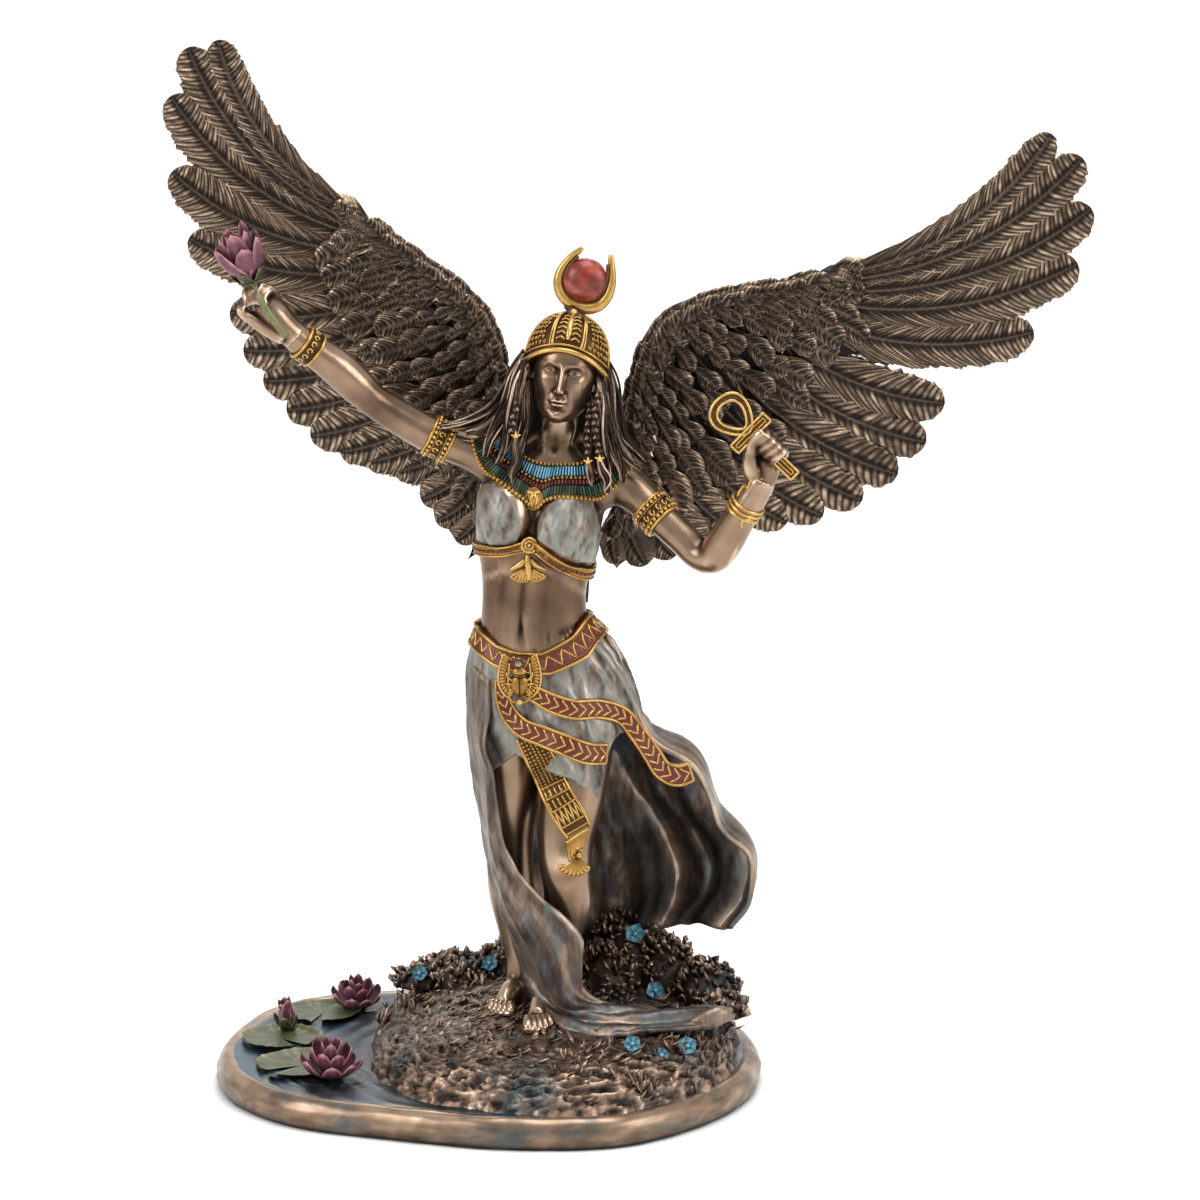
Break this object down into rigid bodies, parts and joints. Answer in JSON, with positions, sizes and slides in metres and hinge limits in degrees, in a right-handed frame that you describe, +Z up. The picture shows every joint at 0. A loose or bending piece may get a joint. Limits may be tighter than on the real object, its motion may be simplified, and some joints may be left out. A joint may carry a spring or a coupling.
{
  "type": "winged goddess statuette",
  "caption": "Cast and painted statuette of a winged goddess in Egyptian dress, standing barefoot on a pond-side mound with an ankh and a lotus raised in her hands.",
  "frame": {"origin": "middle of the flat underside of the base, on the surface it stands on", "axes": "+Z up, -Y the way she faces, +X to the viewer's right, which is her left"},
  "size_m": [0.2351, 0.1177, 0.2692],
  "materials": {
    "cast_bronze": "cold-cast bronze, smooth and rosy on the skin with darker brown in the hollows, satin",
    "feather_bronze": "dark brown bronze with champagne highlights brushed onto every barb and shaft",
    "patina_cloth": "brown bronze brushed over with a silvery grey-green patina, streaked along the folds",
    "antique_gold": "antique gold paint on the raised edges, dark in the grooves",
    "dark_hair": "near-black brown bronze with copper on the ridges of the locks",
    "coral_disc": "marbled coral red, glossy",
    "red_enamel": "deep red paint in the sashes, belt and collar",
    "blue_enamel": "turquoise blue paint on the collar beads",
    "green_enamel": "dark green paint on the collar beads",
    "lotus_purple": "purple paint rubbed to bronze at the petal tips",
    "pad_green": "dull olive green over bronze",
    "pond_water": "glossy slate blue over bronze, with bronze rings on the ripples",
    "mound_bronze": "dark bronze, copper on the raised turf and leaves",
    "flower_blue": "pale blue paint on the small flowers"
  },
  "bodies": {
    "root": {"figure_and_base": "cast_bronze", "right_wing": "feather_bronze", "left_wing": "feather_bronze"}
  },
  "joints": []
}
